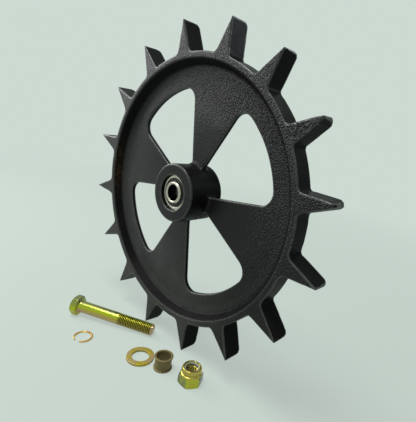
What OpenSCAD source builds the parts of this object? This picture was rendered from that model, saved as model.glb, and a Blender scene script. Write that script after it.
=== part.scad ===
// Toothed press wheel of a seed planter: a cast spider wheel that runs on two sealed ball
// bearings, with the loose fastener set that bolts it to its arm.
// The axle lies along y with the wheel's front towards -y, +z is up, and the origin is on the
// axle at the middle of the rim. The wheel stands on two teeth and the fasteners lie in front of it.

/* [Rim and teeth] */
// Diameter across the tips of the teeth
tip_d = 330.2; // [310:0.1:360]
// Diameter of the rim at the roots of the teeth
root_d = 268; // [262:0.5:276]
// Number of teeth
tooth_count = 16; // [12:1:20]
// Width of the rim and the teeth along the axle
rim_w = 20.5; // [18:0.1:24]
// Width of a tooth where it meets the rim
tooth_base_w = 17.6; // [12:0.1:22]
// Width of the blunt edge at the tip of a tooth
tooth_tip_w = 1.6; // [0.8:0.1:4]
// Radius of the rounded rear corner of each tip
tip_corner_r = 5; // [2:0.5:8]
// Radius of the fillets at the roots of the teeth
root_fillet_r = 4; // [2:0.5:6]
// Diameter inside the lip of the rim
lip_d = 255; // [246:0.5:258]
// How far the inside of the rim narrows from its lip to the web, on each side
rim_draft = 4.5; // [2:0.5:8]
// Bevel along the edges of the lip
lip_edge = 1.2; // [0.5:0.1:3]

/* [Web and windows] */
// Thickness of the web
web_t = 5.2; // [4:0.1:7]
// Depth of the web behind the front of the rim
web_depth = 9.7; // [7:0.1:11]
// Width of the sloping ledge where the web meets the rim
ledge_w = 8; // [4:0.5:11]
// Rise of that ledge from the web
ledge_h = 1.2; // [0.4:0.1:2]
// Number of windows
window_count = 4; // [3:1:5]
// Diameter across the outer ends of the windows
window_outer_d = 208; // [180:1:218]
// Angle between the two sides of a window
window_angle = 50; // [36:1:56]
// Distance from the axle to the line of each window side
window_side_offset = 2.3; // [0:0.1:5]
// Radius of the outer corners of a window
window_corner_r = 12.5; // [6:0.5:16]
// Radius of the inner corners of a window, where its sides meet the hub
window_inner_corner_r = 2.5; // [2:0.5:7]

/* [Hub] */
// Outside diameter of the hub
hub_d = 57.2; // [48:0.1:62]
// How far the hub stands ahead of the front of the rim
hub_front = 12.3; // [8:0.1:18]
// How far the hub stands behind the rear of the rim
hub_rear = 7.5; // [4:0.1:14]
// Radius of the rounded edges of the hub
hub_edge_r = 1.8; // [0.5:0.1:3]
// Radius of the fillets between the hub and the web
hub_fillet_r = 4.5; // [2:0.5:6]

/* [Bearings] */
// Bore of the bearings, which is the axle's diameter
bore_d = 15.875; // [12:0.005:16.5]
// Outside diameter of the bearings
bearing_od = 34.925; // [34:0.005:40]
// Width of the outer rings
bearing_w = 8.73; // [8:0.01:11]
// Diameter of the balls
ball_d = 4.7625; // [4.2:0.0025:5.2]
// How deep the balls sit in each race
race_depth = 0.68; // [0.4:0.01:1]
// How far each bearing is set in from the end of the hub
bearing_recess = 3; // [1:0.1:5]
// How far each inner ring stands out past its outer ring
inner_stand = 2.4; // [0.5:0.1:2.8]
// Height of the shoulder in the hub that each outer ring seats on
shoulder_h = 2.9; // [1.5:0.1:4]
// Wall of the spacer sleeve between the inner rings
spacer_wall = 2.3; // [1.5:0.1:2.8]
// Chamfer at the ends of the axle bore
bore_chamfer = 0.4; // [0.2:0.05:0.8]
// Least width of the cage's bars between two balls
cage_bar = 3.2; // [2.4:0.1:4]
// Wall of the cage behind each ball
cage_back = 0.6; // [0.4:0.05:0.9]
// How far the cage's prongs reach past the middle of the balls
cage_grip = 1.2; // [0.8:0.1:1.6]
// Depth of each seal below the face of its outer ring
seal_inset = 0.23; // [0.1:0.01:0.4]

/* [Axle bolt] */
// Diameter of the bolt
bolt_d = 12.7; // [10:0.1:14]
// Length of the bolt under its head
bolt_len = 88.9; // [70:0.1:110]
// Length of the threaded end
thread_len = 42; // [25:0.5:60]
// Pitch of the thread
thread_pitch = 1.954; // [1.5:0.001:2.2]
// Width of the bolt's head across its flats
head_af = 19.05; // [17:0.05:22]
// Height of the bolt's head
head_h = 7.9; // [6:0.1:10]
// Chamfer at the end of the thread
bolt_chamfer = 1.4; // [0.8:0.1:2]

/* [Lock nut] */
// Width of the nut across its flats
nut_af = 20.6; // [18.5:0.05:23]
// Height of the whole nut
nut_h = 16; // [13:0.1:19]
// Height of the round collar that holds the insert
nut_collar_h = 4.2; // [3:0.1:5]
// Height of the insert
insert_h = 2.8; // [2:0.1:3.4]
// Wall of the collar around the insert
collar_wall = 1.1; // [0.8:0.05:1.5]

/* [Washer, bush and snap ring] */
// Outside diameter of the flat washer
washer_od = 27; // [24:0.5:30]
// Hole of the flat washer
washer_id = 16.7; // [15.5:0.1:20]
// Thickness of the flat washer
washer_t = 2.4; // [1.6:0.1:3.2]
// Height of the flanged bush
bush_h = 13; // [10:0.5:20]
// Wall of the bush between its flanges
bush_wall = 0.9; // [0.7:0.1:1.6]
// How far the bush's flanges stand out from its wall
bush_flange_w = 1.1; // [0.8:0.1:2]
// Thickness of the bush's flanges
bush_flange_t = 1.2; // [0.8:0.1:2]
// Outside diameter of the snap ring
snap_od = 18.8; // [17:0.1:21]
// Radial width of the snap ring
snap_w = 1.8; // [1.4:0.1:2.4]
// Thickness of the snap ring
snap_t = 1.3; // [0.8:0.1:1.8]
// Opening of the snap ring as an angle
snap_gap = 38; // [10:1:60]

/* [Where the fasteners lie] */
// Bolt's tip along x
bolt_x = -7; // [-20:0.5:10]
// Bolt's tip ahead of the front of the rim
bolt_ahead = 8.9; // [8.5:0.1:20]
// Heading of the bolt
bolt_turn = 28.4; // [15:0.1:45]
// Snap ring along x
snap_x = -42; // [-60:0.5:-20]
// Snap ring ahead of the front of the rim
snap_ahead = 67; // [60:0.5:80]
// Heading of the snap ring's opening
snap_turn = -70; // [-180:1:180]
// Washer along x
washer_x = 17.5; // [10:0.5:19]
// Washer ahead of the front of the rim
washer_ahead = 38.5; // [36:0.5:50]
// Bush along x
bush_x = 41.5; // [40:0.5:48]
// Bush ahead of the front of the rim
bush_ahead = 29.5; // [24:0.5:40]
// Nut along x
nut_x = 71.5; // [68:0.5:90]
// Nut ahead of the front of the rim
nut_ahead = 20.5; // [16:0.5:40]
// Heading of the nut's flats
nut_turn = -32; // [-60:1:0]

/* [Clearances] */
// Gap around an outer ring in its seat
seat_gap = 0.01; // [0.005:0.005:0.03]
// Gap between a ball and its races
ball_gap = 0.1; // [0.05:0.01:0.15]
// Gap between a ball and its pocket
pocket_gap = 0.15; // [0.1:0.01:0.25]
// Gap between the cage and each ring
cage_gap = 0.85; // [0.5:0.05:1.1]
// Gap between the cage and each seal
cage_end_gap = 0.3; // [0.2:0.01:0.4]
// Gap between a seal and the inner ring it wipes
seal_gap = 0.08; // [0.05:0.01:0.12]
// Gap around a seal in its outer ring
seal_seat_gap = 0.01; // [0.005:0.005:0.03]
// Gap around the bolt in the bush
bush_bore_gap = 0.65; // [0.1:0.05:1.2]
// Gap around the insert in the nut's collar
insert_gap = 0.01; // [0.005:0.005:0.05]

/* [Hidden] */
$fn = 96;
// Length by which joined shapes run into each other and cuts run past a face
overlap = 1;
// Depth to which the teeth are rooted in the rim
tooth_root = 3;
// How far a rounding arc runs past the lines it blends, so that it meets each at a definite point
arc_bite = 0.01;
// Depth of the thread, and the length of each of its flanks, as shares of its pitch
thread_depth_share = 0.6;
thread_flank_share = 0.4;
// Slope of the cone that takes the corners off a hexagon
hex_crown_angle = 30;
// Thickness of the round face under the bolt's head
head_face_t = 0.6;
// Diameter of that face, and of the nut's collar, as shares of the width across the flats
head_face_share = 0.95;
nut_collar_share = 0.9;
// Chamfer on the edges of the bush
bush_chamfer = 0.4;

// Wheel, with z along the axle towards the front
tip_r = tip_d / 2;
root_r = root_d / 2;
lip_r = lip_d / 2;
ledge_r = lip_r - rim_draft;
front_z = rim_w / 2;
web_front_z = front_z - web_depth;
web_back_z = web_front_z - web_t;
tooth_pitch = 360 / tooth_count;
floor_z = -tip_r * cos(tooth_pitch / 2) - tooth_tip_w / 2 * sin(tooth_pitch / 2);

// Direction of a tooth's flank, its outward normal and the centre of its root fillet
flank_foot = [root_r, tooth_base_w / 2];
flank_run = [tip_r - root_r, (tooth_tip_w - tooth_base_w) / 2];
flank_dir = flank_run / norm(flank_run);
flank_normal = [-flank_dir.y, flank_dir.x];
fillet_start = flank_foot + (root_fillet_r - arc_bite) * flank_normal;
fillet_slide = run_to_radius(fillet_start, flank_dir, root_r + root_fillet_r - arc_bite);
fillet_centre = fillet_start + fillet_slide * flank_dir;

// Windows, drawn about the x axis
window_outer_r = window_outer_d / 2;
window_turn = tooth_pitch * 1.5;
side_dir = [cos(window_angle / 2), sin(window_angle / 2)];
side_normal = [-side_dir.y, side_dir.x];

// Hub
hub_r = hub_d / 2;
hub_front_z = front_z + hub_front;
hub_back_z = -front_z - hub_rear;
hub_len = hub_front_z - hub_back_z;

// Bearings, each drawn with its outer face at z = 0 and the hub below it
bearing_r = bearing_od / 2;
bore_r = bore_d / 2;
pitch_r = (bore_r + bearing_r) / 2;
inner_land_r = pitch_r - ball_d / 2 + race_depth;
outer_land_r = pitch_r + ball_d / 2 - race_depth;
race_r = ball_d / 2 + ball_gap;
pocket_r = ball_d / 2 + pocket_gap;
ball_z = -bearing_w / 2;
ball_count = floor(2 * PI * pitch_r / (ball_d + cage_bar));
cage_t = outer_land_r - inner_land_r - 2 * cage_gap;
cage_half = pocket_r + cage_back;
seal_t = bearing_w / 2 - cage_half - cage_end_gap - seal_inset;
seal_in_r = inner_land_r + seal_gap;
seal_out_r = outer_land_r - seal_seat_gap;
front_face_z = hub_front_z - bearing_recess;
rear_face_z = hub_back_z + bearing_recess;
spacer_front_z = front_face_z - bearing_w;
spacer_back_z = rear_face_z + bearing_w;
shoulder_r = bearing_r - shoulder_h;
seat_r = bearing_r + seat_gap;

// Fasteners
thread_depth = thread_pitch * thread_depth_share;
thread_turns = floor((thread_len - bolt_chamfer) / thread_pitch);
thread_end_z = bolt_len - bolt_chamfer;
bolt_r = bolt_d / 2;
bolt_tilt = atan((head_af / 2 - bolt_r) / thread_end_z);
nut_bore_r = bolt_r - thread_depth;
collar_r = nut_af / 2 * nut_collar_share;
insert_out_r = collar_r - collar_wall;
insert_in_r = bolt_r - thread_depth / 2;
insert_floor = nut_h - collar_wall - insert_h;
bush_in_r = bolt_r + bush_bore_gap;
bush_out_r = bush_in_r + bush_wall;
bush_flange_r = bush_out_r + bush_flange_w;

// Distance from p along dir at which the distance from the centre becomes rad
function run_to_radius(p, dir, rad) =
    -(p * dir) + sqrt((p * dir) * (p * dir) - p * p + rad * rad);

// Turns what is drawn with z towards the front so that its axis lies along the axle
module on_axle() {
    rotate([90, 0, 0])
        children();
}

// Sets what is drawn on z = 0 down on the ground ahead of the rim
module on_ground(x, ahead, turn = 0) {
    translate([x, -front_z - ahead, floor_z])
        rotate([0, 0, turn])
            children();
}

// Corner piece between two straight edges and the arc that rounds them
module corner_piece(at, r, flip_x = false, flip_y = false) {
    translate(at)
        mirror([flip_x ? 1 : 0, 0])
            mirror([0, flip_y ? 1 : 0])
                difference() {
                    translate([-overlap, -overlap])
                        square(r + overlap);
                    translate([r, r])
                        circle(r);
                    translate([-overlap, r])
                        square([overlap, overlap]);
                    translate([r, -overlap])
                        square([overlap, overlap]);
                }
}

// One side of a tooth's root fillet
module root_fillet() {
    inside = fillet_centre - (root_fillet_r + overlap) * flank_normal;
    foot = fillet_centre * (root_r - tooth_root) / norm(fillet_centre);
    difference() {
        polygon([inside, [root_r - tooth_root, 0], foot, fillet_centre]);
        translate(fillet_centre)
            circle(root_fillet_r);
    }
}

module tooth_outline() {
    half_base = tooth_base_w / 2;
    half_tip = tooth_tip_w / 2;
    polygon([
        [root_r - tooth_root, -half_base], [root_r, -half_base], [tip_r, -half_tip],
        [tip_r, half_tip], [root_r, half_base], [root_r - tooth_root, half_base]
    ]);
    root_fillet();
    mirror([0, 1])
        root_fillet();
}

// Toothed disc that the recesses of the wheel are turned out of
module toothed_blank() {
    difference() {
        linear_extrude(rim_w, center = true) {
            circle(root_r);
            for (i = [0 : tooth_count - 1])
                rotate((i + 0.5) * tooth_pitch)
                    tooth_outline();
        }
        rotate_extrude()
            corner_piece([tip_r, -front_z], tip_corner_r, flip_x = true);
    }
}

// Half section of the recess between the rim and the web, from the web at 0 to the rim's face at depth
module recess_section(depth) {
    polygon([
        [0, 0], [ledge_r - ledge_w, 0], [ledge_r, ledge_h],
        [lip_r, depth - lip_edge], [lip_r + lip_edge, depth],
        [lip_r + lip_edge, depth + overlap], [0, depth + overlap]
    ]);
}

// Half section of the hub
module hub_section() {
    difference() {
        translate([0, hub_back_z])
            square([hub_r, hub_len]);
        corner_piece([hub_r, hub_front_z], hub_edge_r, flip_x = true, flip_y = true);
        corner_piece([hub_r, hub_back_z], hub_edge_r, flip_x = true);
    }
}

// Half section of the fillets between the hub and the web
module hub_fillet_section() {
    corner_piece([hub_r, web_front_z], hub_fillet_r);
    corner_piece([hub_r, web_back_z], hub_fillet_r, flip_y = true);
}

// Half section of what is bored out of the hub: both bearing seats and the hole between their shoulders
module hub_bore_section() {
    square([2 * shoulder_r, 2 * hub_len], center = true);
    translate([-seat_r, spacer_front_z])
        square([2 * seat_r, hub_len]);
    translate([-seat_r, spacer_back_z - hub_len])
        square([2 * seat_r, hub_len]);
}

// Waste at one corner of a window, between its side, its end and the arc that rounds them
module window_corner(end_r, r, side_r) {
    reach = r - arc_bite;
    centre_r = end_r + side_r * reach;
    centre = side_normal * (window_side_offset - reach)
        + side_dir * sqrt(centre_r * centre_r - pow(window_side_offset - reach, 2));
    corner = side_normal * (window_side_offset + overlap)
        + side_dir * (sqrt(end_r * end_r - pow(window_side_offset, 2)) - side_r * overlap);
    difference() {
        polygon([
            centre, centre + side_normal * (r + overlap),
            corner, centre * (end_r - side_r * overlap) / centre_r
        ]);
        translate(centre)
            circle(r);
    }
}

module window_outline() {
    near = side_normal * window_side_offset;
    far = near + side_dir * window_outer_d;
    difference() {
        intersection() {
            polygon([[near.x, -near.y], [far.x, -far.y], far, near]);
            difference() {
                circle(window_outer_r);
                circle(hub_r - overlap);
            }
        }
        for (flip = [0, 1])
            mirror([0, flip]) {
                window_corner(window_outer_r, window_corner_r, -1);
                window_corner(hub_r, window_inner_corner_r, 1);
            }
    }
}

// Rim, teeth and the whole web, with the fillets that the hub will stand in
module closed_wheel() {
    difference() {
        toothed_blank();
        translate([0, 0, web_front_z])
            rotate_extrude()
                recess_section(web_depth);
        translate([0, 0, web_back_z])
            mirror([0, 0, 1])
                rotate_extrude()
                    recess_section(rim_w - web_depth - web_t);
    }
    rotate_extrude()
        hub_fillet_section();
}

module wheel_casting() {
    color("#2b2c2e")
        on_axle()
            difference() {
                union() {
                    difference() {
                        closed_wheel();
                        for (i = [0 : window_count - 1])
                            rotate(window_turn + i * 360 / window_count)
                                linear_extrude(2 * rim_w, center = true)
                                    window_outline();
                    }
                    rotate_extrude()
                        hub_section();
                }
                rotate_extrude()
                    intersection() {
                        hub_bore_section();
                        translate([0, -hub_len])
                            square([hub_r, 2 * hub_len]);
                    }
            }
}

module spacer_sleeve() {
    color("#8d9092")
        on_axle()
            rotate_extrude()
                translate([bore_r, spacer_back_z])
                    square([spacer_wall, spacer_front_z - spacer_back_z]);
}

// Places what is drawn below z = 0 in the front end or the rear end of the hub
module in_hub(front) {
    on_axle()
        translate([0, 0, front ? front_face_z : rear_face_z])
            mirror([0, 0, front ? 0 : 1])
                children();
}

module at_each_ball() {
    for (i = [0 : ball_count - 1])
        rotate(i * 360 / ball_count)
            translate([pitch_r, 0, ball_z])
                children();
}

module outer_ring() {
    color("#b9b6ac")
        rotate_extrude()
            difference() {
                translate([outer_land_r, -bearing_w])
                    square([bearing_r - outer_land_r, bearing_w]);
                translate([pitch_r, ball_z])
                    circle(race_r);
            }
}

module inner_ring() {
    color("#cfcabb")
        rotate_extrude()
            difference() {
                polygon([
                    [bore_r, -bearing_w], [inner_land_r, -bearing_w],
                    [inner_land_r, inner_stand - bore_chamfer],
                    [inner_land_r - bore_chamfer, inner_stand],
                    [bore_r + bore_chamfer, inner_stand], [bore_r, inner_stand - bore_chamfer]
                ]);
                translate([pitch_r, ball_z])
                    circle(race_r);
            }
}

module ball_set() {
    color("#d8d8d8")
        at_each_ball()
            sphere(d = ball_d);
}

// Crown cage: a ring behind the balls with prongs that reach past their middle
module cage() {
    color("#d9d2b4")
        difference() {
            rotate_extrude()
                translate([pitch_r - cage_t / 2, ball_z - cage_half])
                    square([cage_t, cage_half + cage_grip]);
            at_each_ball()
                rotate([0, 90, 0])
                    cylinder(r = pocket_r, h = ball_d, center = true);
        }
}

module seal_at(top_z) {
    color("#1f1f20")
        rotate_extrude()
            translate([seal_in_r, top_z - seal_t])
                square([seal_out_r - seal_in_r, seal_t]);
}

module outboard_seal() {
    seal_at(-seal_inset);
}

module inboard_seal() {
    seal_at(seal_inset + seal_t - bearing_w);
}

module front_outer_ring() {
    in_hub(true)
        outer_ring();
}

module front_inner_ring() {
    in_hub(true)
        inner_ring();
}

module front_balls() {
    in_hub(true)
        ball_set();
}

module front_cage() {
    in_hub(true)
        cage();
}

module front_outboard_seal() {
    in_hub(true)
        outboard_seal();
}

module front_inboard_seal() {
    in_hub(true)
        inboard_seal();
}

module rear_outer_ring() {
    in_hub(false)
        outer_ring();
}

module rear_inner_ring() {
    in_hub(false)
        inner_ring();
}

module rear_balls() {
    in_hub(false)
        ball_set();
}

module rear_cage() {
    in_hub(false)
        cage();
}

module rear_outboard_seal() {
    in_hub(false)
        outboard_seal();
}

module rear_inboard_seal() {
    in_hub(false)
        inboard_seal();
}

// Hexagonal bar from z = 0 to h with its corners taken off at the top and, if asked, at the bottom
module hex_blank(af, h, both_ends = false) {
    hex_r = af / 2 / cos(180 / 6);
    crown = hex_r - af / 2;
    fall = crown * tan(hex_crown_angle);
    intersection() {
        linear_extrude(h)
            rotate(180 / 6)
                circle(hex_r, $fn = 6);
        rotate_extrude()
            polygon([
                [0, 0], [hex_r - (both_ends ? crown : 0), 0], [hex_r, both_ends ? fall : 0],
                [hex_r, h - fall], [hex_r - crown, h], [0, h]
            ]);
    }
}

// Half section of the bolt's shank, with the ridges of its thread
module shank_section() {
    first_z = thread_end_z - thread_turns * thread_pitch;
    root = bolt_r - thread_depth;
    flank = thread_pitch * thread_flank_share;
    ridges = [
        for (i = [0 : thread_turns - 1])
            let (z = first_z + i * thread_pitch)
                each [
                    [bolt_r, z], [root, z + flank],
                    [root, z + thread_pitch - flank], [bolt_r, z + thread_pitch]
                ]
    ];
    polygon(concat(
        [[0, -overlap], [bolt_r, -overlap]],
        ridges,
        [[bolt_r - bolt_chamfer, bolt_len], [0, bolt_len]]
    ));
}

// The bolt lies on a flat of its head and on the end of its thread
module axle_bolt() {
    color("#b8a23a")
        on_ground(bolt_x, bolt_ahead, bolt_turn)
            rotate([0, bolt_tilt, 0])
                translate([-thread_end_z, 0, bolt_r])
                    rotate([0, 90, 0]) {
                        rotate_extrude()
                            shank_section();
                        translate([0, 0, -head_face_t])
                            cylinder(d = head_af * head_face_share, h = head_face_t);
                        translate([0, 0, -head_face_t])
                            mirror([0, 0, 1])
                                hex_blank(head_af, head_h - head_face_t);
                    }
}

module flat_washer() {
    color("#c2a94a")
        on_ground(washer_x, washer_ahead)
            difference() {
                cylinder(d = washer_od, h = washer_t);
                translate([0, 0, -overlap])
                    cylinder(d = washer_id, h = washer_t + 2 * overlap);
            }
}

// Spool with a flange at each end
module flanged_bush() {
    color("#6f6440")
        on_ground(bush_x, bush_ahead)
            rotate_extrude()
                polygon([
                    [bush_in_r, bush_chamfer], [bush_in_r + bush_chamfer, 0], [bush_flange_r, 0],
                    [bush_flange_r, bush_flange_t], [bush_out_r, bush_flange_t],
                    [bush_out_r, bush_h - bush_flange_t], [bush_flange_r, bush_h - bush_flange_t],
                    [bush_flange_r, bush_h], [bush_in_r + bush_chamfer, bush_h],
                    [bush_in_r, bush_h - bush_chamfer]
                ]);
}

module snap_ring() {
    color("#c58a35")
        on_ground(snap_x, snap_ahead, snap_turn + snap_gap / 2)
            rotate_extrude(angle = 360 - snap_gap)
                translate([snap_od / 2 - snap_w, 0])
                    square([snap_w, snap_t]);
}

module lock_nut() {
    color("#b8a23a")
        on_ground(nut_x, nut_ahead, nut_turn)
            difference() {
                union() {
                    hex_blank(nut_af, nut_h - nut_collar_h, both_ends = true);
                    rotate_extrude()
                        polygon([
                            [0, overlap], [collar_r, overlap], [collar_r, nut_h - collar_wall],
                            [collar_r - collar_wall, nut_h], [0, nut_h]
                        ]);
                }
                translate([0, 0, -overlap])
                    cylinder(r = nut_bore_r, h = nut_h);
                translate([0, 0, insert_floor])
                    cylinder(r = insert_out_r, h = insert_h);
                translate([0, 0, insert_floor])
                    cylinder(r = insert_out_r - collar_wall, h = nut_h);
            }
}

module nut_insert() {
    color("#d7dbc6")
        on_ground(nut_x, nut_ahead, nut_turn)
            translate([0, 0, insert_floor])
                rotate_extrude()
                    translate([insert_in_r, 0])
                        square([insert_out_r - insert_gap - insert_in_r, insert_h]);
}

wheel_casting();
spacer_sleeve();
front_outer_ring();
front_inner_ring();
front_balls();
front_cage();
front_outboard_seal();
front_inboard_seal();
rear_outer_ring();
rear_inner_ring();
rear_balls();
rear_cage();
rear_outboard_seal();
rear_inboard_seal();
axle_bolt();
flat_washer();
flanged_bush();
snap_ring();
lock_nut();
nut_insert();
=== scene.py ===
"""Looks of a toothed planter press wheel and its loose fastener set."""

import itertools
import math

import bpy
import numpy as np
from mathutils import Matrix, Vector


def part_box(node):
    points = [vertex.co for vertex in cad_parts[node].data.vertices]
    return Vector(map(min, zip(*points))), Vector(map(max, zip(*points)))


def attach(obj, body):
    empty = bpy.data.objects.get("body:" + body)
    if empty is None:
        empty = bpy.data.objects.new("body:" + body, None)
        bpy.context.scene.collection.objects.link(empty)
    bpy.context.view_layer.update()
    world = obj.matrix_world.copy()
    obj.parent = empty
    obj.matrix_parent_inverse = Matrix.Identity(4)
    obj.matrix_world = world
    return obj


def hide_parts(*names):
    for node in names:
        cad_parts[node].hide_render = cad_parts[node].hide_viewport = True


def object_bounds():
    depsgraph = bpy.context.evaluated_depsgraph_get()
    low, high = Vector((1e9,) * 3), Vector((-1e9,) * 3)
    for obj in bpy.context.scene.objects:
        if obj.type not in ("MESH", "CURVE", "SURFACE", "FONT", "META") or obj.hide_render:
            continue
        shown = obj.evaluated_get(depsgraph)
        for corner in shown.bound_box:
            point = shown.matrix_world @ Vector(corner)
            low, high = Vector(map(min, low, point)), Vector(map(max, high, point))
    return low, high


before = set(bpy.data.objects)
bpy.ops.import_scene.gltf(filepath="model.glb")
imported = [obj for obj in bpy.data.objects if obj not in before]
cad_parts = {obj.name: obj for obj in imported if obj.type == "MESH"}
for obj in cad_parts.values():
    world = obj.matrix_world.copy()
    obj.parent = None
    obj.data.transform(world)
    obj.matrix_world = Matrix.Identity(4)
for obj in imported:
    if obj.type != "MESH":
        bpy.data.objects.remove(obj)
cad_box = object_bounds()

MM = 0.001
FLOOR_Z = min(cad_box[0][2], cad_box[1][2])

# Sizes that the detailed pieces share with the solids, in millimetres
TOOTH_PITCH = 22.5
ROOT_R = 134.0
TIP_R = 165.1
RIM_HALF = 10.25
HUB_R = 28.6
SEAT_R = 17.4725
FRONT_SEAT_Y = -10.82
REAR_SEAT_Y = 6.02
BORE_R = 7.9375
INNER_LAND_R = 10.999
OUTER_LAND_R = 14.402
BEARING_R = 17.4625
BEARING_W = 8.73
FRONT_FACE_Y = -19.55
REAR_FACE_Y = 14.75
SEAL_INSET = 0.23
BOLT_R = 6.35
BOLT_LEN = 88.9
THREAD_LEN = 42.0
THREAD_PITCH = 1.954
THREAD_DEPTH = 1.0
BOLT_CHAMFER = 1.4
BOLT_TURN = 28.4
BOLT_TIP = (-7.0, -19.15)
HEAD_AF = 19.05
HEAD_H = 7.9
HEAD_FACE_T = 0.6
NUT_AF = 20.6
NUT_H = 16.0
NUT_CROWN_Z = 9.0
NUT_COLLAR_R = 9.27
NUT_TURN = -32.0
NUT_HOLE_R = 5.2
INSERT_IN_R = 5.77
INSERT_OUT_R = 8.15
INSERT_BOTTOM = 12.1
INSERT_TOP = 14.88
SNAP_OD = 18.8
SNAP_W = 1.8
SNAP_T = 1.3
SNAP_GAP = 38.0
SNAP_TURN = -70.0
SNAP_AT = (-42.0, -77.25)


# Camera at the photo's viewing angle

PHOTO_W, PHOTO_H = 416, 422
FOCAL_PX = 350.73
CENTRE_PX = (247.14, 206.31)
SENSOR_MM = 36.0
CAMERA_AT = Vector((0.2624, -0.2373, 0.0763))
CAMERA_RIGHT = Vector((0.7488, 0.6380, 0.1766))
CAMERA_UP = Vector((-0.2783, 0.0615, 0.9585))


def add_camera():
    long_side = max(PHOTO_W, PHOTO_H)
    data = bpy.data.cameras.new("camera")
    data.sensor_width = SENSOR_MM
    data.lens = FOCAL_PX * SENSOR_MM / long_side
    data.shift_x = (PHOTO_W / 2 - CENTRE_PX[0]) / long_side
    data.shift_y = (CENTRE_PX[1] - PHOTO_H / 2) / long_side
    data.clip_start = 0.01
    camera = bpy.data.objects.new("camera", data)
    right = CAMERA_RIGHT.normalized()
    back = right.cross(CAMERA_UP).normalized()
    up = back.cross(right)
    camera.matrix_world = Matrix.Translation(CAMERA_AT) @ Matrix((right, up, back)).transposed().to_4x4()
    bpy.context.scene.collection.objects.link(camera)
    bpy.context.scene.camera = camera


# Mesh helpers

def add_piece(name, mesh):
    piece = bpy.data.objects.new(name, mesh)
    bpy.context.scene.collection.objects.link(piece)
    return piece


def shade_smooth(mesh):
    mesh.polygons.foreach_set("use_smooth", np.ones(len(mesh.polygons), bool))


def bake_modifiers(piece):
    """Give the piece the mesh that its modifiers make."""
    depsgraph = bpy.context.evaluated_depsgraph_get()
    mesh = bpy.data.meshes.new_from_object(piece.evaluated_get(depsgraph))
    old = piece.data
    piece.modifiers.clear()
    piece.data = mesh
    bpy.data.meshes.remove(old)


def points_of(mesh):
    """Positions of a mesh's vertices."""
    points = np.empty(len(mesh.vertices) * 3, np.float32)
    mesh.vertices.foreach_get("co", points)
    return points.reshape(-1, 3).astype(float)


def vertex_arrays(mesh):
    """Positions and normals of a mesh's vertices."""
    normals = np.empty(len(mesh.vertices) * 3, np.float32)
    mesh.vertex_normals.foreach_get("vector", normals)
    return points_of(mesh), normals.reshape(-1, 3).astype(float)


def set_points(mesh, points):
    mesh.vertices.foreach_set("co", points.astype(np.float32).ravel())
    mesh.update()


def store_values(mesh, name, values):
    layer = mesh.attributes.new(name, "FLOAT", "POINT")
    layer.data.foreach_set("value", values.astype(np.float32))


def loft(name, rings, loop=False):
    """Smooth mesh through rings of equally many points; the ends are closed, or joined in a loop."""
    count = len(rings[0])
    total = len(rings)
    ring = np.arange(count)
    onward = (ring + 1) % count
    faces = []
    for i in range(total if loop else total - 1):
        low, high = i * count, (i + 1) % total * count
        faces += np.stack([low + ring, low + onward, high + onward, high + ring], 1).tolist()
    if not loop:
        faces.append(ring[::-1].tolist())
        faces.append((ring + (total - 1) * count).tolist())
    mesh = bpy.data.meshes.new(name)
    mesh.from_pydata(np.concatenate(rings).tolist(), [], faces)
    mesh.validate()
    shade_smooth(mesh)
    return add_piece(name, mesh)


def rounded(corners, radius, steps=4, closed=False):
    """Profile of (r, z) points with each corner replaced by an arc."""
    corners = [np.array(c, float) for c in corners]
    count = len(corners)
    line = []
    for i, corner in enumerate(corners):
        if not closed and i in (0, count - 1):
            line.append(corner)
            continue
        before = corners[i - 1] - corner
        after = corners[(i + 1) % count] - corner
        cut = min(radius, 0.45 * np.linalg.norm(before), 0.45 * np.linalg.norm(after))
        start = corner + before / np.linalg.norm(before) * cut
        end = corner + after / np.linalg.norm(after) * cut
        for t in np.linspace(0, 1, steps + 1):
            line.append((1 - t) ** 2 * start + 2 * t * (1 - t) * corner + t * t * end)
    return line


def divided(line, step):
    """The same line with points no further apart than step."""
    dense = [line[0]]
    for start, end in zip(line, line[1:]):
        parts = max(1, math.ceil(np.linalg.norm(np.subtract(end, start)) / step))
        dense += [start + (np.subtract(end, start)) * k / parts for k in range(1, parts + 1)]
    return dense


def circle_angles(count):
    return np.arange(count) * 2 * math.pi / count


def ring_points(radius, height, angles):
    radius = np.broadcast_to(radius, angles.shape)
    return np.stack([radius * np.cos(angles), radius * np.sin(angles), np.full(angles.shape, height)], 1) * MM


def hexagon_radius(angles, across_flats):
    """Distance of a hexagon's sides from its middle, with a flat facing angle 0."""
    sixth = math.pi / 3
    return across_flats / 2 / np.cos((angles + sixth / 2) % sixth - sixth / 2)


def soft_min(a, b, blend):
    """The lesser of two lengths, with the corner between them rounded."""
    h = np.clip(0.5 + (b - a) / (2 * blend), 0, 1)
    return b * (1 - h) + a * h - blend * h * (1 - h)


def turned(name, profile, matrix, segments=128, loop=True):
    """Solid of revolution of an (r, z) profile about the matrix's z axis."""
    angles = circle_angles(segments)
    piece = loft(name, [ring_points(r, z, angles) for r, z in profile], loop)
    piece.data.transform(matrix)
    return piece


def hand_over(piece, node, body, material):
    """Let the piece stand for a CAD node, in the node's body and material slot."""
    piece.data.materials.clear()
    piece.data.materials.append(material)
    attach(piece, body)
    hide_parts(node)


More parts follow.
